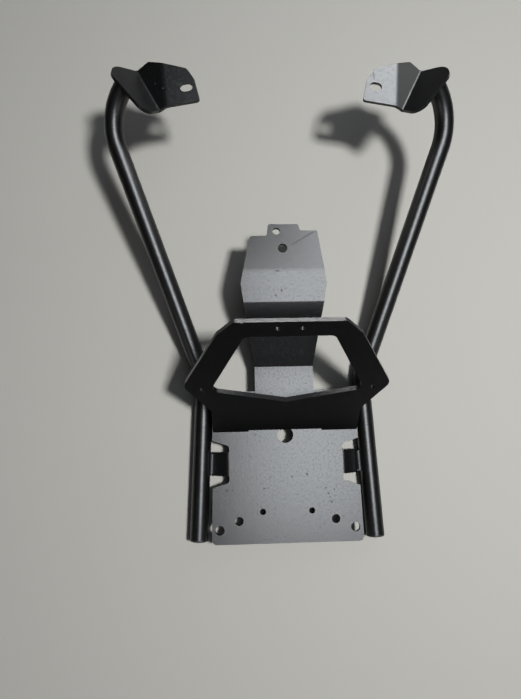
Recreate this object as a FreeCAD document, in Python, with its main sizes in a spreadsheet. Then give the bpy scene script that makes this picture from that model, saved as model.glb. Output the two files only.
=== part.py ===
"""Top case rack of a motorbike: a weldment of two bent tubes, folded sheet brackets and an upright hoop.

+Y points to the front of the bike, +X to the right and +Z up. The origin is the middle of the rear plate's
large centre hole, at its upper face. Names that end in half give a distance from the plane of symmetry.
"""

import FreeCAD, Part

import math
import os
import re

import Sketcher

Vector = FreeCAD.Vector
POINT_MATCH = 0.001

SIZES = {
    # Bent tubes
    "tube_dia": 18.0,
    "tube_wall": 2.0,
    "tube_drop": 9.0,
    "tail_half": 88.3,
    "tail_back": 100.0,
    "kink_half": 81.8,
    "kink_ahead": 57.8,
    "kink_radius": 60.0,
    "arm_half": 168.6,
    "arm_ahead": 307.0,
    "arm_rise": 60.0,
    "arm_radius": 52.0,
    "cap_flange": 2.0,
    "cap_depth": 10.0,
    "cap_gap": 0.3,
    # Rear plate
    "sheet": 4.0,
    "plate_back": 104.5,
    "plate_ahead": 44.5,
    "plate_tail_half": 75.0,
    "plate_nose_half": 73.0,
    "plate_corner": 5.0,
    "notch_half": 57.0,
    "notch_mouth_half": 73.8,
    "notch_back": 51.0,
    "notch_front": 4.4,
    "notch_slope": 5.5,
    "notch_corner": 3.5,
    "small_hole": 6.0,
    "small_hole_half": 24.4,
    "small_hole_back": 74.4,
    "medium_hole": 8.5,
    "medium_hole_half": 47.9,
    "medium_hole_back": 82.9,
    "large_hole": 9.0,
    "large_hole_half": 67.0,
    "large_hole_back": 91.1,
    "centre_hole": 16.0,
    # Tabs folded down from the plate to the tubes
    "tab_back": 39.5,
    "tab_front": 16.0,
    "tab_fold_deg": 30.0,
    "tab_bend": 3.0,
    "tab_gap": 0.4,
    # Hoop
    "hoop_sheet": 6.0,
    "hoop_lean_deg": 45.0,
    "hoop_foot": 4.0,
    "hoop_base_half": 73.0,
    "hoop_waist": 29.5,
    "hoop_wing_half": 97.5,
    "hoop_wing": 61.5,
    "hoop_wing_round": 8.0,
    "hoop_brow_half": 64.0,
    "hoop_brow": 119.0,
    "hoop_top_half": 49.0,
    "hoop_top": 132.0,
    "hoop_round": 5.0,
    "hoop_recess_half": 37.0,
    "hoop_recess": 2.0,
    "window_top_half": 39.8,
    "window_top": 117.0,
    "window_side_half": 73.0,
    "window_side": 55.0,
    "window_bottom": 40.5,
    "window_round": 6.0,
    "hoop_hole": 4.0,
    "hoop_hole_half": 10.9,
    "hoop_hole_up": 125.0,
    "wing_hole_half": 81.0,
    "wing_hole_up": 57.0,
    # Centre strap
    "strap_tail": 22.0,
    "strap_foot_half": 29.8,
    "strap_valley": 69.0,
    "strap_ridge": 130.0,
    "strap_ridge_height": 34.0,
    "strap_ridge_half": 39.8,
    "strap_wide": 148.0,
    "strap_wide_half": 42.4,
    "strap_crest": 158.0,
    "strap_crest_height": 38.5,
    "strap_tip": 210.0,
    "strap_tip_height": 33.5,
    "strap_tip_left": 14.0,
    "strap_tip_right": 16.5,
    "shoulder_left": 197.2,
    "shoulder_left_half": 32.3,
    "shoulder_right": 202.8,
    "shoulder_right_half": 35.3,
    "shoulder_step": 1.5,
    "valley_bend": 1.5,
    "ridge_bend": 2.0,
    "crest_bend": 36.0,
    "strap_round": 2.5,
    "bolt_hole": 9.5,
    "bolt_hole_ahead": 183.8,
    "pilot_hole": 7.5,
    "pilot_hole_left": 5.8,
    "pilot_hole_ahead": 202.3,
    # Front brackets
    "bracket_sheet": 3.0,
    "ear_height": 80.3,
    "ear_fold_half": 108.9,
    "ear_fold_back": 306.6,
    "ear_fold_front_half": 113.0,
    "ear_fold_front": 351.6,
    "ear_nose_half": 89.5,
    "ear_nose": 345.8,
    "ear_side_half": 82.1,
    "ear_side": 334.4,
    "ear_heel_half": 76.9,
    "ear_heel": 312.7,
    "ear_round": 5.0,
    "heel_round": 2.5,
    "ear_slot_half": 89.8,
    "ear_slot_ahead": 326.4,
    "ear_slot_width": 9.0,
    "ear_slot_length": 12.0,
    "ear_slot_tilt_deg": 12.0,
    "cheek_drop_deg": 20.0,
    "cheek_top_out": 13.4,
    "cheek_top": 356.5,
    "flap_heel_out": 6.1,
    "flap_heel": 304.2,
    "flap_nose_out": 25.2,
    "flap_nose": 350.1,
    "flap_rise_deg": 40.0,
    "flap_far_along": 52.6,
    "flap_far_out": 37.0,
    "flap_near_along": 8.0,
    "flap_near_out": 18.6,
    "flap_far_round": 15.0,
    "flap_near_round": 11.0,
    "socket_along": 36.8,
    "socket_out": 17.0,
    "fold_round": 16.0,
    # Weld beads
    "bead": 3.0,
    "collar": 3.5,
    "stitch": 24.0,
}

doc = FreeCAD.newDocument("top_case_rack")
sheet = doc.addObject("Spreadsheet::Sheet", "sizes")
for row, (alias, size) in enumerate(SIZES.items(), 1):
    sheet.set(f"A{row}", alias)
    sheet.set(f"B{row}", str(size))
    sheet.setAlias(f"B{row}", alias)
sums = doc.addObject("Spreadsheet::Sheet", "sums")
doc.recompute()


def bind(text):
    """Write a formula of size names as an expression on the spreadsheet."""
    return re.sub(r"[a-z_]+", lambda word: "sizes." + word.group(), text)


def size(text):
    """Value of a formula of size names, in millimetres or degrees."""
    sums.set("A1", "=" + bind(text))
    sums.recompute()
    return float(sums.get("A1"))


def turn(degrees):
    """Cosine and sine of an angle in degrees."""
    return math.cos(math.radians(degrees)), math.sin(math.radians(degrees))


def frame(origin, along, normal):
    """Placement whose X axis runs along one direction and whose Z axis is the normal."""
    across = normal.cross(along)
    columns = (along, across, normal, origin)
    rows = [[getattr(column, axis) for column in columns] for axis in "xyz"]
    return FreeCAD.Placement(FreeCAD.Matrix(*rows[0], *rows[1], *rows[2], 0, 0, 0, 1))


# Sketches and bodies


def new_body(label):
    body = doc.addObject("PartDesign::Body", label)
    body.Label = label
    return body


def new_sketch(body, label, role="XY_Plane"):
    sketch = body.newObject("Sketcher::SketchObject", label)
    plane = next(item for item in body.Origin.OriginFeatures if item.Role == role)
    sketch.AttachmentSupport = [(plane, "")]
    sketch.MapMode = "FlatFace"
    return sketch


def pin(sketch, geometry, point, place):
    """Hold a sketch point at a place given by two formulas."""
    for kind, axis_line, text in zip(("DistanceX", "DistanceY"), (-2, -1), place):
        if text == "0":
            sketch.addConstraint(Sketcher.Constraint("PointOnObject", geometry, point, axis_line))
            continue
        index = sketch.addConstraint(Sketcher.Constraint(kind, -1, 1, geometry, point, size(text)))
        sketch.setExpression(f"Constraints[{index}]", bind(text))


def draw_polygon(sketch, corners):
    """Closed outline whose corners are pairs of formulas."""
    points = [Vector(size(x), size(y), 0) for x, y in corners]
    lines = [sketch.addGeometry(Part.LineSegment(a, b)) for a, b in zip(points, points[1:] + points[:1])]
    for here, after in zip(lines, lines[1:] + lines[:1]):
        sketch.addConstraint(Sketcher.Constraint("Coincident", here, 2, after, 1))
    for line, corner in zip(lines, corners):
        pin(sketch, line, 1, corner)


def draw_circle(sketch, x, y, diameter):
    centre = Vector(size(x), size(y), 0)
    circle = sketch.addGeometry(Part.Circle(centre, Vector(0, 0, 1), size(diameter) / 2))
    pin(sketch, circle, 3, (x, y))
    index = sketch.addConstraint(Sketcher.Constraint("Diameter", circle, size(diameter)))
    sketch.setExpression(f"Constraints[{index}]", bind(diameter))


def draw_slot(sketch, centre, along, length, width):
    """Round-ended slot along a direction of the sketch."""
    up = Vector(0, 0, 1)
    side = up.cross(along) * (width / 2)
    reach = along * ((length - width) / 2)
    for edge in (side, side * -1):
        sketch.addGeometry(Part.LineSegment(centre + edge - reach, centre + edge + reach))
    for end, way in ((centre + reach, along), (centre - reach, along * -1)):
        start = math.atan2(way.y, way.x) - math.pi / 2
        circle = Part.Circle(end, up, width / 2)
        sketch.addGeometry(Part.ArcOfCircle(circle, start, start + math.pi))


def pad(body, sketch, length, reverse=False, both_ways=False):
    feature = body.newObject("PartDesign::Pad", sketch.Label + "_pad")
    feature.Profile = sketch
    feature.setExpression("Length", bind(length))
    feature.Reversed = reverse
    feature.Midplane = both_ways
    doc.recompute()


def from_above(point):
    return point.x, point.y


def from_the_side(point):
    return point.y, point.z


def from_behind(point):
    return point.x, point.z


def round_corners(body, corners, radius, flat=from_above):
    """Round the edges of a body that are seen end on at the given points."""
    base = body.Tip
    names = []
    for number, edge in enumerate(base.Shape.Edges, 1):
        ends = [flat(vertex.Point) for vertex in edge.Vertexes]
        if len(ends) == 2 and math.dist(*ends) < POINT_MATCH:
            if any(math.dist(ends[0], corner) < POINT_MATCH for corner in corners):
                names.append(f"Edge{number}")
    feature = body.newObject("PartDesign::Fillet", body.Label + "_round")
    feature.Base = (base, names)
    feature.setExpression("Radius", bind(radius))
    doc.recompute()


def as_text(pair):
    return tuple(f"{value:.6f}" for value in pair)


def on_both_sides(*corners):
    """Outline points on the right and on the left."""
    return [(sign * size(x), size(y)) for x, y in corners for sign in (1, -1)]


def whole_outline(right_half):
    """Outline from the corners of its right half, listed from back to front."""
    return right_half + [(f"-({x})", y) for x, y in reversed(right_half)]


# Primitives and booleans


def cut(label, base, *tools):
    """Base without each of the tools."""
    result = base
    for number, tool in enumerate(tools, 1):
        step = doc.addObject("Part::Cut", f"{label}_cut_{number}")
        step.Base = result
        step.Tool = tool
        result = step
    result.Label = label
    doc.recompute()
    return result


def fuse(label, *shapes):
    result = doc.addObject("Part::MultiFuse", label)
    result.Shapes = list(shapes)
    result.Refine = True
    doc.recompute()
    return result


def mirror(label, source):
    """The left-hand copy of a right-hand piece."""
    result = doc.addObject("Part::Mirroring", label)
    result.Source = source
    result.Normal = Vector(1, 0, 0)
    doc.recompute()
    return result


def pair(label, right):
    """Like pieces on the right and on the left, in one node."""
    result = doc.addObject("Part::Compound", label)
    result.Links = [right, mirror("left_" + right.Label, right)]
    doc.recompute()
    return result


def rod(label, radius, height, start, direction):
    """Round bar from a start point along a direction."""
    bar = doc.addObject("Part::Cylinder", label)
    bar.setExpression("Radius", bind(radius))
    bar.Height = height
    bar.Placement = FreeCAD.Placement(start, FreeCAD.Rotation(Vector(0, 0, 1), direction))
    return bar


def half_space(label, placement):
    """Block that stands on the XY plane of a frame, wider than any piece that it trims."""
    reach = 2 * size("plate_back")
    box = doc.addObject("Part::Box", label)
    box.Length = box.Width = box.Height = 2 * reach
    box.Placement = placement.multiply(FreeCAD.Placement(Vector(-reach, -reach, 0), FreeCAD.Rotation()))
    return box


# Planes of the right front bracket


def axis_of(placement, axis):
    return placement.Rotation.multVec(axis)


def plane_point(placement, x, y):
    """Point of a frame's XY plane above or below a place on the floor."""
    normal = axis_of(placement, Vector(0, 0, 1))
    origin = placement.Base
    drop = (x - origin.x) * normal.x + (y - origin.y) * normal.y
    return Vector(x, y, origin.z - drop / normal.z)


def fold_frame(start, along, degrees):
    """Frame on a fold line, whose plane climbs outwards from it by an angle."""
    outward = along.cross(Vector(0, 0, 1)).normalize()
    level, climb = turn(degrees)
    across = outward * level + outward.cross(along) * climb
    return frame(start, along, across.cross(along))


def bracket_frames():
    """Frames of the ear, the cheek and the flap, and the corners of the cheek between the folds."""
    ear_back = Vector(size("ear_fold_half"), size("ear_fold_back"), size("ear_height"))
    ear_front = Vector(size("ear_fold_front_half"), size("ear_fold_front"), size("ear_height"))
    along = (ear_front - ear_back).normalize()
    ear = fold_frame(ear_back, along, 0)
    cheek = fold_frame(ear_back, along, -size("cheek_drop_deg"))
    top = plane_point(cheek, size("ear_fold_front_half + cheek_top_out"), size("cheek_top"))
    nose = plane_point(cheek, size("ear_fold_front_half + flap_nose_out"), size("flap_nose"))
    heel = plane_point(cheek, size("ear_fold_half + flap_heel_out"), size("flap_heel"))
    flap = fold_frame(heel, (nose - heel).normalize(), size("flap_rise_deg"))
    return ear, cheek, flap, (ear_back, ear_front, top, nose, heel)


def written(placement, points):
    """Points of space as formulas in the X and Y of a frame."""
    return [as_text(from_above(placement.inverse().multVec(point))) for point in points]


# Pieces


def bent_path(points, radii):
    """Straight runs between points, joined by tangent arcs at the inner points."""
    edges = []
    start = points[0]
    for before, corner, after, radius in zip(points, points[1:], points[2:], radii):
        into = (corner - before).normalize()
        out = (after - corner).normalize()
        half = into.getAngle(out) / 2
        reach = radius * math.tan(half)
        first = corner - into * reach
        last = corner + out * reach
        middle = corner + (out - into).normalize() * (radius / math.cos(half) - radius)
        edges.append(Part.LineSegment(start, first).toShape())
        edges.append(Part.Arc(first, middle, last).toShape())
        start = last
    edges.append(Part.LineSegment(start, points[-1]).toShape())
    path = doc.addObject("Part::Feature", "tube_path")
    path.Shape = Part.Wire(edges)
    return path


def swept_bar(label, radius, path, start, direction):
    """Round bar along a path."""
    ring = doc.addObject("Part::Circle", label + "_ring")
    ring.setExpression("Radius", bind(radius))
    ring.Placement = FreeCAD.Placement(start, FreeCAD.Rotation(Vector(0, 0, 1), direction))
    bar = doc.addObject("Part::Sweep", label)
    bar.Sections = [ring]
    bar.Spine = (path, [f"Edge{number}" for number in range(1, len(path.Shape.Edges) + 1)])
    bar.Solid = True
    doc.recompute()
    return bar


def make_tubes():
    """Tubes that run level past the plate to a kink, then climb to the back of the bracket's flap."""
    low = -size("tube_drop")
    tail = Vector(size("tail_half"), -size("tail_back"), low)
    kink = Vector(size("kink_half"), size("kink_ahead"), low)
    arm = Vector(size("arm_half"), size("arm_ahead"), size("arm_rise"))
    socket = FLAP.multVec(Vector(size("socket_along"), -size("socket_out"), -size("bracket_sheet")))
    beyond = socket + (socket - arm).normalize() * size("tube_dia")
    path = bent_path((tail, kink, arm, beyond), (size("kink_radius"), size("arm_radius")))
    direction = (kink - tail).normalize()
    outer = swept_bar("tube_outside", "tube_dia / 2", path, tail, direction)
    inner = swept_bar("tube_inside", "tube_dia / 2 - tube_wall", path, tail, direction)
    back_of_flap = FLAP.multiply(FreeCAD.Placement(Vector(0, 0, -size("bracket_sheet")), FreeCAD.Rotation()))
    solid = cut("tube_solid", outer, half_space("tube_trim", back_of_flap))
    right = cut("right_tube", solid, inner)
    flange = rod("cap_flange_disc", "tube_dia / 2", size("cap_flange"), tail, direction * -1)
    plug = rod("cap_plug", "tube_dia / 2 - tube_wall - cap_gap", size("cap_depth"), tail, direction)
    caps = pair("tube_caps", fuse("tube_cap", flange, plug))
    return solid, right, mirror("left_tube", right), caps


def panel(label, placement, corners, rounds, slot_centre=None):
    """Flat sheet under the XY plane of a frame, with some of its corners rounded."""
    body = new_body(label)
    sketch = new_sketch(body, label + "_outline")
    draw_polygon(sketch, corners)
    if slot_centre:
        inside = placement.inverse()
        level, fall = turn(size("ear_slot_tilt_deg"))
        along = axis_of(inside, Vector(level, -fall, 0))
        draw_slot(sketch, inside.multVec(slot_centre), along, size("ear_slot_length"), size("ear_slot_width"))
    pad(body, sketch, "bracket_sheet", reverse=True)
    for index, radius in rounds.items():
        x, y = corners[index]
        round_corners(body, [(size(x), size(y))], radius)
    body.Placement = placement
    return body


def valley_bend(label, start, end, first, second):
    """Rounded outside of a fold, between the lower sides of two sheets whose normals are given."""
    bend = doc.addObject("Part::Cylinder", label)
    bend.setExpression("Radius", bind("bracket_sheet"))
    bend.Height = (end - start).Length
    bend.Angle = math.degrees(first.getAngle(second))
    axis = first.cross(second).normalize()
    base = start if axis.dot(end - start) > 0 else end
    bend.Placement = frame(base, first * -1, axis)
    return bend


def make_brackets():
    """Ear with a slot, cheek that falls to a sharp fold, and flap that climbs to the tube's end."""
    ear_back, ear_front, _, nose, heel = CHEEK_CORNERS
    names = ("ear_nose", "ear_side", "ear_heel")
    ear_edge = [plane_point(EAR, size(name + "_half"), size(name)) for name in names]
    slot_centre = plane_point(EAR, size("ear_slot_half"), size("ear_slot_ahead"))
    ear_corners = written(EAR, [ear_back, ear_front, *ear_edge])
    ear = panel("ear", EAR, ear_corners, {2: "ear_round", 3: "ear_round", 4: "heel_round"}, slot_centre)
    cheek = panel("cheek", CHEEK, written(CHEEK, CHEEK_CORNERS), {2: "heel_round"})
    flap_corners = written(FLAP, [heel, nose])
    flap_corners += [("flap_far_along", "-flap_far_out"), ("-flap_near_along", "-flap_near_out")]
    flap = panel("flap", FLAP, flap_corners, {2: "flap_far_round", 3: "flap_near_round"})
    normals = [axis_of(placement, Vector(0, 0, 1)) for placement in (CHEEK, FLAP)]
    bend = valley_bend("flap_bend_outside", heel, nose, *normals)
    folded = fuse("folded_bracket", ear, cheek, flap, bend)
    fold = (ear_back, ear_front)
    ridge = []
    for number, edge in enumerate(folded.Shape.Edges, 1):
        ends = [vertex.Point for vertex in edge.Vertexes]
        if all(min(end.distanceToPoint(corner) for corner in fold) < POINT_MATCH for end in ends):
            ridge.append((number, size("fold_round"), size("fold_round")))
    right = doc.addObject("Part::Fillet", "right_front_bracket")
    right.Base = folded
    right.Edges = ridge
    doc.recompute()
    return right, mirror("left_front_bracket", right)


def tab_end():
    """Ends of the tab's upper and lower faces beside the tube, in X and Z."""
    level, fall = turn(size("tab_fold_deg"))
    along = Vector(level, 0, -fall)
    lean = math.tan(math.radians(size("tab_fold_deg") / 2))
    upper = Vector(size("notch_half") + size("tab_bend + sheet") * lean, 0, 0)
    lower = Vector(size("notch_half") + size("tab_bend") * lean, 0, -size("sheet"))
    share = size("(tail_back - tab_front) / (tail_back + kink_ahead)")
    tube_half = size("tail_half") + share * size("kink_half - tail_half")
    to_tube = Vector(tube_half, 0, -size("tube_drop")) - upper
    middle = to_tube.dot(along)
    aside = to_tube.Length ** 2 - middle ** 2
    length = middle - math.sqrt(size("tube_dia / 2 + tab_gap") ** 2 - aside)
    end = upper + along * length
    return upper, end, end - Vector(fall, 0, level) * size("sheet"), lower


def make_plate():
    """Flat plate with holes and two notches, in each of which a tab folds down to the tube."""
    body = new_body("plate_sheet")
    sketch = new_sketch(body, "plate_outline")
    right_half = [
        ("plate_tail_half", "-plate_back"),
        ("notch_mouth_half", "-notch_back"),
        ("notch_half", "notch_slope - notch_back"),
        ("notch_half", "-notch_front - notch_slope"),
        ("notch_mouth_half", "-notch_front"),
        ("plate_nose_half", "plate_ahead"),
    ]
    draw_polygon(sketch, whole_outline(right_half))
    for name in ("small_hole", "medium_hole", "large_hole"):
        for sign in ("", "-"):
            draw_circle(sketch, f"{sign}{name}_half", f"-{name}_back", name)
    draw_circle(sketch, "0", "0", "centre_hole")
    pad(body, sketch, "sheet", reverse=True)
    round_corners(body, on_both_sides(right_half[0], right_half[5]), "plate_corner")
    round_corners(body, on_both_sides(*right_half[2:4]), "notch_corner")

    tab = new_body("plate_tab")
    profile = new_sketch(tab, "tab_profile", "XZ_Plane")
    upper, end, under_end, lower = tab_end()
    root = Vector(size("notch_half - sheet"), 0, 0)
    under_root = root - Vector(0, 0, size("sheet"))
    corners = [from_behind(point) for point in (root, upper, end, under_end, lower, under_root)]
    draw_polygon(profile, [as_text(corner) for corner in corners])
    pad(tab, profile, "tab_back - tab_front")
    round_corners(tab, corners[1:2], "tab_bend + sheet", from_behind)
    round_corners(tab, corners[4:5], "tab_bend", from_behind)
    tab.setExpression("Placement.Base.y", bind("-tab_front"))
    return fuse("rear_plate", body, tab, mirror("left_plate_tab", tab))


def make_hoop():
    """Leaning plate with a window, cut off level where it stands on the rear plate."""
    body = new_body("hoop_sheet_body")
    sketch = new_sketch(body, "hoop_outline")
    right_half = [
        ("hoop_recess_half", "hoop_recess"),
        ("hoop_recess_half", "-2 * hoop_sheet"),
        ("hoop_base_half", "-2 * hoop_sheet"),
        ("hoop_base_half", "hoop_waist"),
        ("hoop_wing_half", "hoop_wing"),
        ("hoop_brow_half", "hoop_brow"),
        ("hoop_top_half", "hoop_top"),
    ]
    window = [("window_side_half", "window_side"), ("window_top_half", "window_top")]
    draw_polygon(sketch, whole_outline(right_half))
    draw_polygon(sketch, [("0", "window_bottom"), *whole_outline(window)])
    for sign in ("", "-"):
        draw_circle(sketch, sign + "hoop_hole_half", "hoop_hole_up", "hoop_hole")
        draw_circle(sketch, sign + "wing_hole_half", "wing_hole_up", "hoop_hole")
    pad(body, sketch, "hoop_sheet", reverse=True)
    round_corners(body, on_both_sides(right_half[4]), "hoop_wing_round")
    round_corners(body, on_both_sides(right_half[3], *right_half[5:]), "hoop_round")
    round_corners(body, on_both_sides(*window), "window_round")
    level, climb = turn(size("hoop_lean_deg"))
    foot = Vector(0, size("hoop_foot"), 0)
    body.Placement = frame(foot, Vector(1, 0, 0), Vector(0, -climb, level))
    below = half_space("hoop_trim", frame(foot, Vector(1, 0, 0), Vector(0, 0, -1)))
    return cut("hoop", body, below)


def make_strap():
    """Folded strap with a foot, a steep wall, a short shelf and a bolt tab, trimmed to its plan outline."""
    thick = size("sheet")
    slope = size("(strap_tip_height - strap_crest_height) / (strap_tip - strap_crest)")
    tip = size("strap_tip") + thick
    upper = [
        Vector(size("strap_tail"), thick, 0),
        Vector(size("strap_valley"), thick, 0),
        Vector(size("strap_ridge"), size("strap_ridge_height"), 0),
        Vector(size("strap_crest"), size("strap_crest_height"), 0),
        Vector(tip, size("strap_tip_height") + thick * slope, 0),
    ]
    ways = [(after - before).normalize() for before, after in zip(upper, upper[1:])]
    normals = [Vector(-way.y, way.x, 0) for way in ways]
    lower = []
    for point, before, after in zip(upper, normals[:1] + normals, normals + normals[-1:]):
        lower.append(point - (before + after) * (thick / (1 + before.dot(after))))
    folded = new_body("strap_profile")
    profile = new_sketch(folded, "strap_side", "YZ_Plane")
    draw_polygon(profile, [as_text(from_above(point)) for point in upper + lower[::-1]])
    pad(folded, profile, "3 * strap_wide_half", both_ways=True)
    bends = [("valley_bend", "valley_bend + sheet")]
    bends += [(bend + " + sheet", bend) for bend in ("ridge_bend", "crest_bend")]
    for above, below, (upper_bend, lower_bend) in zip(upper[1:], lower[1:], bends):
        round_corners(folded, [from_above(above)], upper_bend, from_the_side)
        round_corners(folded, [from_above(below)], lower_bend, from_the_side)

    plan = new_body("strap_plan")
    sketch = new_sketch(plan, "strap_outline")
    right = [
        ("strap_foot_half", "strap_tail"),
        ("strap_foot_half", "strap_valley"),
        ("strap_ridge_half", "strap_ridge"),
        ("strap_wide_half", "strap_wide"),
    ]
    bolt_tab = [
        ("shoulder_right_half", "shoulder_right"),
        ("strap_tip_right + shoulder_step", "shoulder_right"),
        ("strap_tip_right", "strap_tip"),
        ("-strap_tip_left", "strap_tip"),
        ("-strap_tip_left - shoulder_step", "shoulder_left"),
        ("-shoulder_left_half", "shoulder_left"),
    ]
    draw_polygon(sketch, right + bolt_tab + whole_outline(right)[len(right):])
    draw_circle(sketch, "0", "bolt_hole_ahead", "bolt_hole")
    draw_circle(sketch, "-pilot_hole_left", "pilot_hole_ahead", "pilot_hole")
    pad(plan, sketch, "2 * strap_crest_height")
    rounded = on_both_sides(right[3]) + [(size(x), size(y)) for x, y in bolt_tab]
    round_corners(plan, rounded, "strap_round")
    strap = doc.addObject("Part::MultiCommon", "centre_strap")
    strap.Shapes = [folded, plan]
    doc.recompute()
    return strap


# Weld beads


def make_collars(solid):
    """Fillet weld round each tube's end, on the back of the flap."""
    cone = doc.addObject("Part::Cone", "collar_cone")
    cone.setExpression("Radius1", bind("tube_dia / 2 + collar"))
    cone.setExpression("Radius2", bind("tube_dia / 2"))
    cone.setExpression("Height", bind("collar"))
    place = FLAP.multVec(Vector(size("socket_along"), -size("socket_out"), -size("bracket_sheet")))
    away = axis_of(FLAP, Vector(0, 0, -1))
    cone.Placement = FreeCAD.Placement(place, FreeCAD.Rotation(Vector(0, 0, 1), away))
    return pair("bracket_welds", cut("bracket_weld", cone, solid))


def make_tab_welds(plate, solid):
    """Bead between each plate tab and the tube, along the tube."""
    _, end, _, _ = tab_end()
    along = Vector(size("tail_half - kink_half"), size("-tail_back - kink_ahead"), 0).normalize()
    start = Vector(end.x - size("bead / 4"), -size("tab_front + bead / 2"), end.z + size("bead / 2"))
    bead = rod("tab_bead", "bead", size("tab_back - tab_front - bead"), start, along)
    return pair("tab_welds", cut("tab_weld", bead, solid, plate))


def make_hoop_welds(hoop, plate):
    """Stitch in the sharp corner in front of each foot of the hoop."""
    climb = turn(size("hoop_lean_deg"))[1]
    corner = size("hoop_foot") + size("hoop_sheet") / climb
    start = Vector(size("hoop_recess_half + bead"), corner + size("bead / 2"), size("bead / 4"))
    bead = rod("hoop_bead", "bead", size("stitch"), start, Vector(1, 0, 0))
    return pair("hoop_welds", cut("hoop_weld", bead, hoop, plate))


def make_strap_welds(strap, plate):
    """Stitch along each side of the strap's foot."""
    start = Vector(size("strap_foot_half + bead / 4"), size("strap_tail"), size("bead / 4"))
    bead = rod("strap_bead", "bead", size("plate_ahead - strap_tail - bead"), start, Vector(0, 1, 0))
    return pair("strap_welds", cut("strap_weld", bead, strap, plate))


def write_parts(pieces):
    for item in doc.Objects:
        if {"Invalid", "Error"} & set(item.State):
            raise RuntimeError(f"{item.Label} failed: {item.State}")
    for piece in pieces:
        if piece.Shape.isNull() or not piece.Shape.isValid() or not piece.Shape.Solids:
            raise RuntimeError(f"{piece.Label} has no valid solid")
    os.makedirs("parts", exist_ok=True)
    for piece in pieces:
        piece.Shape.exportStep(os.path.join("parts", piece.Label + ".step"))
        print(piece.Label, len(piece.Shape.Solids), round(piece.Shape.Volume))


EAR, CHEEK, FLAP, CHEEK_CORNERS = bracket_frames()
tube_solid, *tubes = make_tubes()
brackets = make_brackets()
rear_plate = make_plate()
hoop = make_hoop()
strap = make_strap()
welds = [
    make_collars(tube_solid),
    make_tab_welds(rear_plate, tube_solid),
    make_hoop_welds(hoop, rear_plate),
    make_strap_welds(strap, rear_plate),
]
write_parts([*tubes, *brackets, rear_plate, hoop, strap, *welds])
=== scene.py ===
import math
import random

import bmesh
import bpy
from bpy.props import FloatProperty, FloatVectorProperty, IntProperty, PointerProperty
from bpy.types import Operator, Panel, PropertyGroup
from mathutils import Matrix, Vector


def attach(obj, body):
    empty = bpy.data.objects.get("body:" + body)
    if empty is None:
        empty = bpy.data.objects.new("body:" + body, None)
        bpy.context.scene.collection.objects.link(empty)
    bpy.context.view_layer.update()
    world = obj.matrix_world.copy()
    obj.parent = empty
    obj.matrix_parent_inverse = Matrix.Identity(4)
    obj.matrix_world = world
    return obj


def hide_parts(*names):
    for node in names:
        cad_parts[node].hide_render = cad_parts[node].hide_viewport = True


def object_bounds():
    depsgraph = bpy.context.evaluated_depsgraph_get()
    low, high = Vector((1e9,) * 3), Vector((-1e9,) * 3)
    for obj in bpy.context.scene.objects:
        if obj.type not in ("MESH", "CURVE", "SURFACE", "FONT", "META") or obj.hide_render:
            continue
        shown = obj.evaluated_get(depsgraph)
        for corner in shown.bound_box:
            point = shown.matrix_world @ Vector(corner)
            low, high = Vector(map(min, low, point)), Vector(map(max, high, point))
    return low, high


bl_info = {
    "name": "Top case rack",
    "version": (1, 0, 0),
    "blender": (4, 5, 0),
    "location": "3D View > Sidebar > Rack",
    "description": "Coats, welds and lights a motorbike's top case rack",
    "category": "Object",
}

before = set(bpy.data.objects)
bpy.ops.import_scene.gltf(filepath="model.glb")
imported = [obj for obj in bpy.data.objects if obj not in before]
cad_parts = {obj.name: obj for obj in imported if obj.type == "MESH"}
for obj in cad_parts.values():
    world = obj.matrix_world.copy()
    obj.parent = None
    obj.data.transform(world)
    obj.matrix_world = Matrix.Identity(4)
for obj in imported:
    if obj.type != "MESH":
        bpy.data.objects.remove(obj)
CAD_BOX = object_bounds()
BODY = "root"
MM = 0.001

# Points closer than this are one point, and faces flatter than this are one face
SAME_POINT = 0.002 * MM
SAME_FACE = math.radians(0.5)

# Angles of folds and edges, in degrees
SHALLOW_FOLD = 5
SHARP_EDGE = 30

# A fold line is longer than this many of its own radii
FOLD_LENGTH = 8

# Roughness that dust and marks add to the coat, and that its uneven grain adds at most
MATT_ROUGHNESS = 0.35
GRAIN_ROUGHNESS = 0.1
TUBE_ROUGHNESS = 0.3
WELD_ROUGHNESS = 0.45
GRAIN_HEIGHT = 0.1 * MM

# Typical refractive indices of polyester powder coat and of polyethylene
COAT_IOR = 1.48
PLUG_IOR = 1.51

# Radius of a dust speck's rim and core, as shares of the specks' spacing
SPECK_RIM = 0.07
SPECK_CORE = 0.03

SHEET_NODES = ("rear_plate", "centre_strap", "left_front_bracket", "right_front_bracket")
BENT_NODES = ("left_front_bracket", "right_front_bracket")
TUBE_NODES = ("left_tube", "right_tube")

# Axis along which each pair of straight weld beads runs
STRAIGHT_WELDS = {"tab_welds": 1, "hoop_welds": 0, "strap_welds": 1}

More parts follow.
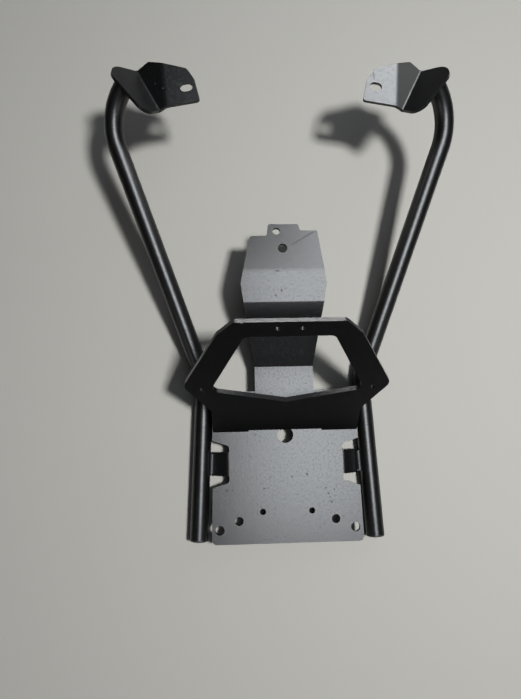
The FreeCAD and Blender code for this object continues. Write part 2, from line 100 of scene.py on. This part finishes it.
# Rubbed marks in the coat, each from one point to another, in millimetres, with its width
RUBS = {
    "rear_plate": [
        ((38.7, -52.8, 0.0), (39.5, -53.0, 0.0), 0.9),
        ((47.4, -54.4, 0.0), (47.7, -55.1, 0.0), 0.8),
        ((41.2, -58.0, 0.0), (42.1, -58.9, 0.0), 0.8),
        ((42.9, -61.5, 0.0), (43.1, -62.1, 0.0), 0.8),
        ((43.4, -66.2, 0.0), (44.6, -66.9, 0.0), 0.9),
        ((19.8, -38.6, 0.0), (21.2, -40.0, 0.0), 0.9),
        ((5.3, -40.6, 0.0), (5.6, -42.1, 0.0), 0.8),
        ((-23.0, -52.0, 0.0), (-21.9, -52.1, 0.0), 0.9),
        ((-60.2, -53.6, 0.0), (-58.4, -53.1, 0.0), 1.0),
        ((-54.2, -52.4, 0.0), (-53.7, -53.3, 0.0), 0.9),
    ],
    "centre_strap": [
        ((9.6, 187.5, 35.7), (31.2, 200.9, 34.4), 1.1),
        ((-7.2, 160.0, 38.2), (-4.9, 159.6, 38.2), 1.2),
        ((-2.3, 141.4, 35.8), (-2.1, 140.0, 35.6), 1.1),
    ],
    "right_front_bracket": [((88.2, 341.8, 80.3), (88.7, 334.5, 80.3), 0.6)],
}

# Chips down to the steel, given in the same way. The pale dot on the right tab's weld is a painted glint
# where a bead of spatter sits: the bead has no shape, only the steel colour
CHIPS_AND_PAINTED_GLINT = {
    "hoop": [((-42.3, 97.2, 93.2), (-41.0, 97.2, 93.2), 0.9)],
    "left_front_bracket": [((-111.6, 325.3, 79.9), (-111.3, 325.3, 79.9), 0.45)],
    # Painted glint of a spatter bead, drawn in the chips' steel colour
    "welds": [((73.4, -37.0, -6.0), (73.4, -37.6, -6.0), 0.8)],
}


FLOOR_HEIGHT = CAD_BOX[0][2]
FLOOR_HALF = 4.0
SEED = 7

# Each lamp's place, the point that it faces, its width and its length, in metres
LAMPS = {
    "key": ((0.52, 0.04, 1.36), (0.0, 0.15, 0.0), 0.18, 0.18),
    "rear_sheen": ((0.21, 0.17, 1.2), (0.21, 0.17, 0.0), 0.56, 1.2),
    "front_sheen": ((0.55, 1.47, 1.2), (0.55, 1.47, 0.0), 0.58, 1.25),
    "front": ((0.07, 0.66, FLOOR_HEIGHT + 0.006), (0.07, 0.66, 1.0), 0.3, 0.2),
    "side": ((1.9, 1.9, 1.0), (0.1, 0.3, 0.08), 1.2, 1.2),
    "left_front": ((-1.9, 1.9, 1.25), (0.0, 0.13, 0.03), 1.5, 1.5),
    "left_rear": ((-1.9, -1.7, 1.25), (0.0, 0.13, 0.03), 1.5, 1.5),
    "right_rear": ((1.9, -1.7, 1.25), (0.0, 0.13, 0.03), 1.5, 1.5),
}

# Camera of the photograph: its place in millimetres, its view and its upright direction
CAMERA_PLACE = (-39.0, 16.1, 487.6)
CAMERA_VIEW = (0.0322, 0.1453, -0.9889)
CAMERA_UP = (0.0186, 0.9891, 0.1459)
PICTURE_HEIGHT = 36.0


def linear(code):
    """Linear colour of an sRGB hex value."""
    channels = [int(code[at:at + 2], 16) / 255 for at in (1, 3, 5)]
    return tuple(c / 12.92 if c <= 0.04045 else ((c + 0.055) / 1.055) ** 2.4 for c in channels)


class RackFinish(PropertyGroup):
    """Finish of the metal and of the plugs."""

    coat: FloatVectorProperty(
        name="Coat",
        description="Colour of the powder coat",
        subtype="COLOR",
        default=linear("#050506"),
    )
    plug: FloatVectorProperty(
        name="Plugs",
        description="Colour of the moulded plugs in the tubes' ends",
        subtype="COLOR",
        default=linear("#161617"),
    )
    dust: FloatVectorProperty(
        name="Dust",
        description="Colour of the dust specks",
        subtype="COLOR",
        default=linear("#1c1c1e"),
    )
    rubbed: FloatVectorProperty(
        name="Rubs",
        description="Colour of the coat where it is rubbed",
        subtype="COLOR",
        default=linear("#0c0c0d"),
    )
    steel: FloatVectorProperty(
        name="Chips",
        description="Colour of the dull steel in a chip",
        subtype="COLOR",
        default=linear("#8f9093"),
    )
    # The real grain is finer than a millimetre, and is drawn this coarse so that it shows
    grain: FloatProperty(
        name="Grain",
        description="Width of the coat's fine bumps",
        unit="LENGTH",
        default=2.2 * MM,
    )
    mottle: FloatProperty(
        name="Mottle",
        description="Width of the patches of uneven sheen on a plug",
        unit="LENGTH",
        default=14 * MM,
    )
    speck: FloatProperty(
        name="Dust spacing",
        description="Distance between dust specks",
        unit="LENGTH",
        default=17 * MM,
    )


class RackShapes(PropertyGroup):
    """Sizes of the softened edges and of the weld ripples."""

    edge: FloatProperty(
        name="Edge radius",
        description="Most that is rounded off a cut edge, where short edges don't limit it",
        unit="LENGTH",
        default=0.7 * MM,
    )
    plug_edge: FloatProperty(
        name="Plug edge radius",
        description="Radius of the rim of a tube's plug",
        unit="LENGTH",
        default=0.95 * MM,
    )
    bend: FloatProperty(
        name="Bend radius",
        description="Inner radius of the fold between a front bracket's cheek and flap",
        unit="LENGTH",
        default=1.7 * MM,
    )
    strap_lines: FloatProperty(
        name="Strap fold lines",
        description="Most that is rounded off the lines along the strap's folds, with the same limit",
        unit="LENGTH",
        default=3.5 * MM,
    )
    edge_steps: IntProperty(
        name="Edge steps",
        description="Faces across a softened edge",
        default=3,
        min=1,
    )
    weld_cell: FloatProperty(
        name="Weld mesh",
        description="Width of the faces of a weld bead",
        unit="LENGTH",
        default=0.35 * MM,
    )
    ripple_pitch: FloatProperty(
        name="Ripple pitch",
        description="Distance between the ripples of a weld bead",
        unit="LENGTH",
        default=1.9 * MM,
    )
    ripple_height: FloatProperty(
        name="Ripple height",
        description="Height of the ripples of a weld bead",
        unit="LENGTH",
        default=0.18 * MM,
    )


class RackStage(PropertyGroup):
    """Floor, lamps and camera."""

    floor: FloatVectorProperty(
        name="Floor",
        description="Colour of the floor",
        subtype="COLOR",
        default=linear("#9d9c97"),
    )
    key: FloatProperty(
        name="Key light",
        description="Power of the softbox on the right, which lights the floor and casts the shadows",
        unit="POWER",
        default=30.0,
    )
    rear_sheen: FloatProperty(
        name="Rear sheen",
        description="Power of the softbox over the plate, which only shows as sheen on the coat",
        unit="POWER",
        default=30.0,
    )
    front_sheen: FloatProperty(
        name="Front sheen",
        description="Power of the softbox beyond the front brackets, which only shows as sheen on the coat",
        unit="POWER",
        default=39.0,
    )
    sheen_tint: FloatVectorProperty(
        name="Sheen tint",
        description="Colour of the overhead softboxes, a little cool like a window's light",
        subtype="COLOR",
        default=linear("#f7fbff"),
    )
    front: FloatProperty(
        name="Front light",
        description="Power of the panel that lies on the floor in front and lights only the hoop",
        unit="POWER",
        default=4.6,
    )
    side: FloatProperty(
        name="Side light",
        description="Power of the softbox in front, on the right",
        unit="POWER",
        default=7.1,
    )
    round_sheen: FloatProperty(
        name="Sheen all round",
        description="Power of each faint softbox round the part, which only shows as sheen from the sides",
        unit="POWER",
        default=7.0,
    )
    fill: FloatProperty(
        name="Fill",
        description="Strength of the light from all round",
        default=0.015,
        min=0.0,
    )
    lens: FloatProperty(
        name="Lens",
        description="Focal length for a picture 36 mm high",
        unit="CAMERA",
        default=24.48,
    )


# Nodes


def add_node(tree, kind, settings=None, links=None):
    """Add a shader node with its settings, and link its inputs."""
    node = tree.nodes.new(kind)
    for name, value in (settings or {}).items():
        if isinstance(name, str) and hasattr(node, name):
            setattr(node, name, value)
        else:
            node.inputs[name].default_value = value
    for name, socket in (links or {}).items():
        tree.links.new(socket, node.inputs[name])
    return node


def new_material(name):
    """Empty node material with a Principled shader, its output and the place on the object."""
    material = bpy.data.materials.new(name)
    material.use_nodes = True
    tree = material.node_tree
    tree.nodes.clear()
    shader = add_node(tree, "ShaderNodeBsdfPrincipled")
    output = add_node(tree, "ShaderNodeOutputMaterial")
    tree.links.new(shader.outputs["BSDF"], output.inputs["Surface"])
    place = add_node(tree, "ShaderNodeTexCoord").outputs["Object"]
    return material, tree, shader, place


def mark_mask(tree, place, mark):
    """White along a short line on the surface, black elsewhere."""
    start, end, width = mark
    start, end = Vector(start) * MM, Vector(end) * MM
    along = end - start
    offset = add_node(
        tree, "ShaderNodeVectorMath", {"operation": "SUBTRACT", 1: start}, {0: place}
    ).outputs["Vector"]
    share = add_node(
        tree,
        "ShaderNodeVectorMath",
        {"operation": "DOT_PRODUCT", 1: along / along.length_squared},
        {0: offset},
    ).outputs["Value"]
    share = add_node(tree, "ShaderNodeClamp", {}, {"Value": share}).outputs["Result"]
    nearest = add_node(
        tree, "ShaderNodeVectorMath", {"operation": "SCALE", 0: along}, {"Scale": share}
    ).outputs["Vector"]
    distance = add_node(
        tree, "ShaderNodeVectorMath", {"operation": "DISTANCE"}, {0: offset, 1: nearest}
    ).outputs["Value"]
    return add_node(
        tree,
        "ShaderNodeMapRange",
        {"From Min": width * MM, "From Max": 0.2 * width * MM, "To Min": 0.0, "To Max": 0.75},
        {"Value": distance},
    ).outputs["Result"]


def powder_coat(name, finish, marked="", roughness=0.31):
    """Black polyester powder coat, sprayed dry and baked.

    It melts to a satin skin with a fine grain, so it is nearly black away from the light and
    shows a broad grey sheen towards it. Specks of dust and rub marks are matt, so they look dark
    on the sheen.
    """
    material, tree, shader, place = new_material(name)
    grain = add_node(
        tree,
        "ShaderNodeTexNoise",
        {"Scale": 1 / finish.grain, "Detail": 2.0, "Roughness": 0.6},
        {"Vector": place},
    ).outputs["Fac"]
    cells = add_node(
        tree, "ShaderNodeTexVoronoi", {"Scale": 1 / finish.speck, "Randomness": 1.0}, {"Vector": place}
    )
    speck = add_node(
        tree,
        "ShaderNodeMapRange",
        {"From Min": SPECK_RIM, "From Max": SPECK_CORE, "To Min": 0.0, "To Max": 0.8},
        {"Value": cells.outputs["Distance"]},
    ).outputs["Result"]
    colour = add_node(
        tree,
        "ShaderNodeMix",
        {"data_type": "RGBA", 6: (*finish.coat, 1.0), 7: (*finish.dust, 1.0)},
        {0: speck},
    ).outputs[2]
    matt = speck
    marks = [(mark, finish.rubbed) for mark in RUBS.get(marked, ())]
    # Chips take the steel colour, and so does the painted glint of the spatter bead on the weld
    marks += [(mark, finish.steel) for mark in CHIPS_AND_PAINTED_GLINT.get(marked, ())]
    for mark, tone in marks:
        mask = mark_mask(tree, place, mark)
        colour = add_node(
            tree, "ShaderNodeMix", {"data_type": "RGBA", 7: (*tone, 1.0)}, {0: mask, 6: colour}
        ).outputs[2]
        matt = add_node(
            tree, "ShaderNodeMath", {"operation": "MAXIMUM"}, {0: matt, 1: mask}
        ).outputs["Value"]
    rough = add_node(
        tree,
        "ShaderNodeMath",
        {"operation": "MULTIPLY_ADD", 1: MATT_ROUGHNESS, 2: roughness},
        {0: matt},
    ).outputs["Value"]
    uneven = add_node(
        tree,
        "ShaderNodeMapRange",
        {"From Min": 0.5, "From Max": 0.75, "To Max": GRAIN_ROUGHNESS},
        {"Value": grain},
    ).outputs["Result"]
    rough = add_node(tree, "ShaderNodeMath", {"operation": "ADD"}, {0: rough, 1: uneven}).outputs["Value"]
    bump = add_node(
        tree, "ShaderNodeBump", {"Strength": 0.5, "Distance": GRAIN_HEIGHT}, {"Height": grain}
    ).outputs["Normal"]
    tree.links.new(colour, shader.inputs["Base Color"])
    tree.links.new(rough, shader.inputs["Roughness"])
    tree.links.new(bump, shader.inputs["Normal"])
    shader.inputs["IOR"].default_value = COAT_IOR
    return material


def moulded_plug(finish):
    """Black polyethylene, moulded: a soft, slightly waxy sheen and no grain to speak of."""
    material, tree, shader, place = new_material("black_polyethylene_moulded")
    drift = add_node(
        tree, "ShaderNodeTexNoise", {"Scale": 1 / finish.mottle, "Detail": 2.0}, {"Vector": place}
    ).outputs["Fac"]
    rough = add_node(
        tree,
        "ShaderNodeMapRange",
        {"From Min": 0.3, "From Max": 0.7, "To Min": 0.48, "To Max": 0.6},
        {"Value": drift},
    ).outputs["Result"]
    tree.links.new(rough, shader.inputs["Roughness"])
    shader.inputs["Base Color"].default_value = (*finish.plug, 1.0)
    shader.inputs["IOR"].default_value = PLUG_IOR
    return material


def plain_floor(colour):
    """Pale matt floor paint, which takes a soft shadow."""
    material, _, shader, _ = new_material("pale_matt_floor_paint")
    shader.inputs["Base Color"].default_value = (*colour, 1.0)
    shader.inputs["Roughness"].default_value = 0.9
    return material


# Meshes


def dress(thing, material):
    """Give an object one material."""
    thing.data.materials.clear()
    thing.data.materials.append(material)


def place_piece(name, mesh, node, material):
    """Show a mesh in the place of a node."""
    piece = bpy.data.objects.new(name, mesh)
    bpy.context.scene.collection.objects.link(piece)
    dress(piece, material)
    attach(piece, BODY)
    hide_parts(node)
    return piece


def flat_faces(node):
    """Mesh of a node with whole flat faces, as they were cut and folded."""
    work = bmesh.new()
    work.from_mesh(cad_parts[node].data)
    bmesh.ops.remove_doubles(work, verts=work.verts, dist=SAME_POINT)
    bmesh.ops.dissolve_limit(
        work,
        angle_limit=SAME_FACE,
        verts=work.verts,
        edges=work.edges,
        use_dissolve_boundaries=False,
    )
    return work


def soften(work, lines, radius, steps):
    """Round off edges, or fill in the corner of a fold.

    The overlap clamp lets the shortest edge beside the lines limit the radius on the whole piece.
    On the sheets and the hoop, cut edges are rounded by less than 0.05 mm because of it.
    """
    bmesh.ops.bevel(
        work,
        geom=lines,
        offset=radius,
        offset_type="OFFSET",
        segments=steps,
        profile=0.5,
        affect="EDGES",
        clamp_overlap=True,
        harden_normals=False,
    )


def bent_lines(work, least, most):
    """Edges where two faces meet at an angle between two values in degrees."""
    pairs = [line for line in work.edges if len(line.link_faces) == 2]
    return [line for line in pairs if least < math.degrees(line.calc_face_angle()) <= most]


def sharp_lines(work):
    """Edges where two faces meet at a clear angle."""
    return bent_lines(work, SHARP_EDGE, 180)


def coated_piece(node, material, shapes, edge, bend=0.0, fold=0.0):
    """Piece whose cut edges are softened, and its steep folds or shallow fold lines if asked."""
    work = flat_faces(node)
    if fold:
        lines = bent_lines(work, SHALLOW_FOLD, SHARP_EDGE)
        shallow = [line for line in lines if line.calc_length() > FOLD_LENGTH * fold]
        soften(work, shallow, fold, shapes.edge_steps)
    if bend:
        hollow = [line for line in sharp_lines(work) if not line.is_convex]
        steep = [line for line in hollow if line.calc_length() > FOLD_LENGTH * bend]
        soften(work, steep, bend, shapes.edge_steps)
    soften(work, sharp_lines(work), edge, shapes.edge_steps)
    mesh = bpy.data.meshes.new(node + "_coated")
    work.to_mesh(mesh)
    work.free()
    mesh.shade_smooth()
    piece = place_piece(node + "_coated", mesh, node, material)
    weighted = piece.modifiers.new("Even shading", "WEIGHTED_NORMAL")
    weighted.keep_sharp = False
    weighted.weight = 100
    return piece


def weld_mesh(node, cell):
    """Even fine mesh of a weld node."""
    source = bpy.data.objects.new(node + "_source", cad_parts[node].data.copy())
    bpy.context.scene.collection.objects.link(source)
    merge = source.modifiers.new("Close", "WELD")
    merge.merge_threshold = SAME_POINT
    remesh = source.modifiers.new("Even", "REMESH")
    remesh.mode = "VOXEL"
    remesh.voxel_size = cell
    graph = bpy.context.evaluated_depsgraph_get()
    mesh = bpy.data.meshes.new_from_object(source.evaluated_get(graph))
    bpy.data.objects.remove(source)
    mesh.name = node + "_rippled"
    return mesh


def ripple(mesh, shapes, along, draw):
    """Raise the overlapping ripples that a weld pool leaves as it moves along."""
    work = bmesh.new()
    work.from_mesh(mesh)
    work.normal_update()
    phase = draw.random()
    moves = []
    for vertex in work.verts:
        run = along(vertex.co) / shapes.ripple_pitch + phase
        wave = 1.0 - (run % 1.0)
        uneven = 0.75 + 0.25 * math.sin(2.3 * math.floor(run) + 6.0 * phase)
        moves.append(vertex.normal * (shapes.ripple_height * uneven * (wave ** 0.6 - 0.75)))
    for vertex, move in zip(work.verts, moves):
        vertex.co += move
    bmesh.ops.smooth_vert(
        work, verts=work.verts, factor=0.4, use_axis_x=True, use_axis_y=True, use_axis_z=True
    )
    work.to_mesh(mesh)
    work.free()
    mesh.shade_smooth()


def run_of_line(axis):
    """Distance along a straight bead, which lies along one axis."""
    return lambda point: point[axis]


def run_of_rings(node):
    """Distance round the collar on either side, measured in the collar's own plane."""
    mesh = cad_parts[node].data
    rings = {}
    for side in (1, -1):
        points = [vertex.co for vertex in mesh.vertices if vertex.co.x * side > 0]
        centre = sum(points, Vector()) / len(points)
        faces = [face for face in mesh.polygons if face.center.x * side > 0]
        normal = max(faces, key=lambda face: face.area).normal
        across = normal.orthogonal().normalized()
        radius = max((point - centre).length for point in points)
        rings[side] = (centre, across, normal.cross(across), radius)

    def run(point):
        centre, across, other, radius = rings[1 if point.x > 0 else -1]
        arm = point - centre
        return radius * math.atan2(arm.dot(other), arm.dot(across))

    return run


# Operators


class RACK_OT_sheets(Operator):
    """Coat the plate, the strap and the front brackets."""

    bl_idname = "rack.sheets"
    bl_label = "Sheet pieces"

    def execute(self, context):
        scene = context.scene
        shapes = scene.rack_shapes
        for node in SHEET_NODES:
            coat = powder_coat("satin_black_powder_coat_" + node, scene.rack_finish, node)
            bend = shapes.bend if node in BENT_NODES else 0.0
            fold = shapes.strap_lines if node == "centre_strap" else 0.0
            coated_piece(node, coat, shapes, shapes.edge, bend, fold)
        return {"FINISHED"}


class RACK_OT_hoop(Operator):
    """Coat the hoop."""

    bl_idname = "rack.hoop"
    bl_label = "Hoop"

    def execute(self, context):
        scene = context.scene
        shapes = scene.rack_shapes
        coat = powder_coat("satin_black_powder_coat_hoop", scene.rack_finish, "hoop")
        piece = coated_piece("hoop", coat, shapes, shapes.edge)
        bpy.data.collections.new("hoop_pieces").objects.link(piece)
        return {"FINISHED"}


class RACK_OT_tubes(Operator):
    """Coat the bent tubes."""

    bl_idname = "rack.tubes"
    bl_label = "Tubes"

    def execute(self, context):
        finish = context.scene.rack_finish
        coat = powder_coat("satin_black_powder_coat_tube", finish, roughness=TUBE_ROUGHNESS)
        for node in TUBE_NODES:
            dress(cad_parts[node], coat)
        return {"FINISHED"}


class RACK_OT_caps(Operator):
    """Finish the plugs in the tubes' ends."""

    bl_idname = "rack.caps"
    bl_label = "Tube plugs"

    def execute(self, context):
        scene = context.scene
        shapes = scene.rack_shapes
        coated_piece("tube_caps", moulded_plug(scene.rack_finish), shapes, shapes.plug_edge)
        return {"FINISHED"}


class RACK_OT_welds(Operator):
    """Give the weld beads their ripples."""

    bl_idname = "rack.welds"
    bl_label = "Welds"

    def execute(self, context):
        scene = context.scene
        shapes = scene.rack_shapes
        coat = powder_coat("satin_black_powder_coat_weld", scene.rack_finish, "welds", WELD_ROUGHNESS)
        draw = random.Random(SEED)
        runs = {node: run_of_line(axis) for node, axis in STRAIGHT_WELDS.items()}
        runs["bracket_welds"] = run_of_rings("bracket_welds")
        for node, along in runs.items():
            mesh = weld_mesh(node, shapes.weld_cell)
            ripple(mesh, shapes, along, draw)
            place_piece(node + "_rippled", mesh, node, coat)
        return {"FINISHED"}


class RACK_OT_stage(Operator):
    """Lay the floor, hang the lamps and set the camera."""

    bl_idname = "rack.stage"
    bl_label = "Stage"

    def lamp(self, name, power):
        """Softbox at its place, facing its target."""
        place, target, width, length = LAMPS[name]
        data = bpy.data.lights.new(name, "AREA")
        data.shape = "RECTANGLE"
        data.size = width
        data.size_y = length
        data.energy = power
        thing = bpy.data.objects.new(name, data)
        thing.location = place
        thing.rotation_euler = (Vector(target) - Vector(place)).to_track_quat("-Z", "Y").to_euler()
        thing.visible_camera = False
        bpy.context.scene.collection.objects.link(thing)
        return thing

    def execute(self, context):
        scene = context.scene
        stage = scene.rack_stage
        work = bmesh.new()
        bmesh.ops.create_grid(work, x_segments=1, y_segments=1, size=FLOOR_HALF)
        mesh = bpy.data.meshes.new("floor")
        work.to_mesh(mesh)
        work.free()
        floor = bpy.data.objects.new("floor", mesh)
        floor.location = (0, 0, FLOOR_HEIGHT)
        scene.collection.objects.link(floor)
        dress(floor, plain_floor(stage.floor))

        key = self.lamp("key", stage.key)
        key.visible_glossy = False
        overhead = [
            self.lamp("rear_sheen", stage.rear_sheen),
            self.lamp("front_sheen", stage.front_sheen),
        ]
        for sheen in overhead:
            sheen.visible_diffuse = False
            sheen.data.color = stage.sheen_tint
        front = self.lamp("front", stage.front)
        front.light_linking.receiver_collection = bpy.data.collections["hoop_pieces"]
        self.lamp("side", stage.side)
        for name in ("left_front", "left_rear", "right_rear"):
            sheen = self.lamp(name, stage.round_sheen)
            sheen.visible_diffuse = False

        # The left bracket's cheek mirrors the left front softbox, and is dark in the photograph
        apart = bpy.data.collections.new("left_bracket_pieces")
        apart.objects.link(bpy.data.objects["left_front_bracket_coated"])
        apart.collection_objects[0].light_linking.link_state = "EXCLUDE"
        bpy.data.objects["left_front"].light_linking.receiver_collection = apart

        world = bpy.data.worlds.new("even_fill")
        world.use_nodes = True
        background = world.node_tree.nodes["Background"]
        background.inputs["Color"].default_value = (1.0, 1.0, 1.0, 1.0)
        background.inputs["Strength"].default_value = stage.fill
        scene.world = world

        lens = bpy.data.cameras.new("camera")
        lens.sensor_fit = "VERTICAL"
        lens.sensor_height = PICTURE_HEIGHT
        lens.lens = stage.lens
        lens.clip_start = 0.01
        camera = bpy.data.objects.new("camera", lens)
        forward = Vector(CAMERA_VIEW).normalized()
        right = forward.cross(Vector(CAMERA_UP)).normalized()
        up = right.cross(forward)
        turn = Matrix((right, up, -forward)).transposed()
        camera.matrix_world = Matrix.Translation(Vector(CAMERA_PLACE) * MM) @ turn.to_4x4()
        scene.collection.objects.link(camera)
        scene.camera = camera
        scene.view_settings.view_transform = "Standard"
        return {"FINISHED"}


STEPS = (RACK_OT_sheets, RACK_OT_hoop, RACK_OT_tubes, RACK_OT_caps, RACK_OT_welds, RACK_OT_stage)


class RACK_PT_sidebar(Panel):
    """Steps that finish the rack, and their settings."""

    bl_idname = "RACK_PT_sidebar"
    bl_label = "Top case rack"
    bl_space_type = "VIEW_3D"
    bl_region_type = "UI"
    bl_category = "Rack"

    def draw(self, context):
        for group in (context.scene.rack_finish, context.scene.rack_shapes, context.scene.rack_stage):
            column = self.layout.column(align=True)
            for name in group.__annotations__:
                column.prop(group, name)
        for step in STEPS:
            self.layout.operator(step.bl_idname)


GROUPS = {"rack_finish": RackFinish, "rack_shapes": RackShapes, "rack_stage": RackStage}


def register():
    for item in (*GROUPS.values(), *STEPS, RACK_PT_sidebar):
        bpy.utils.register_class(item)
    for name, group in GROUPS.items():
        setattr(bpy.types.Scene, name, PointerProperty(type=group))


def unregister():
    for name in GROUPS:
        delattr(bpy.types.Scene, name)
    for item in (RACK_PT_sidebar, *reversed(STEPS), *reversed(GROUPS.values())):
        bpy.utils.unregister_class(item)


def main():
    register()
    bpy.ops.rack.sheets()
    bpy.ops.rack.hoop()
    bpy.ops.rack.tubes()
    bpy.ops.rack.caps()
    bpy.ops.rack.welds()
    bpy.ops.rack.stage()


if __name__ == "__main__":
    main()
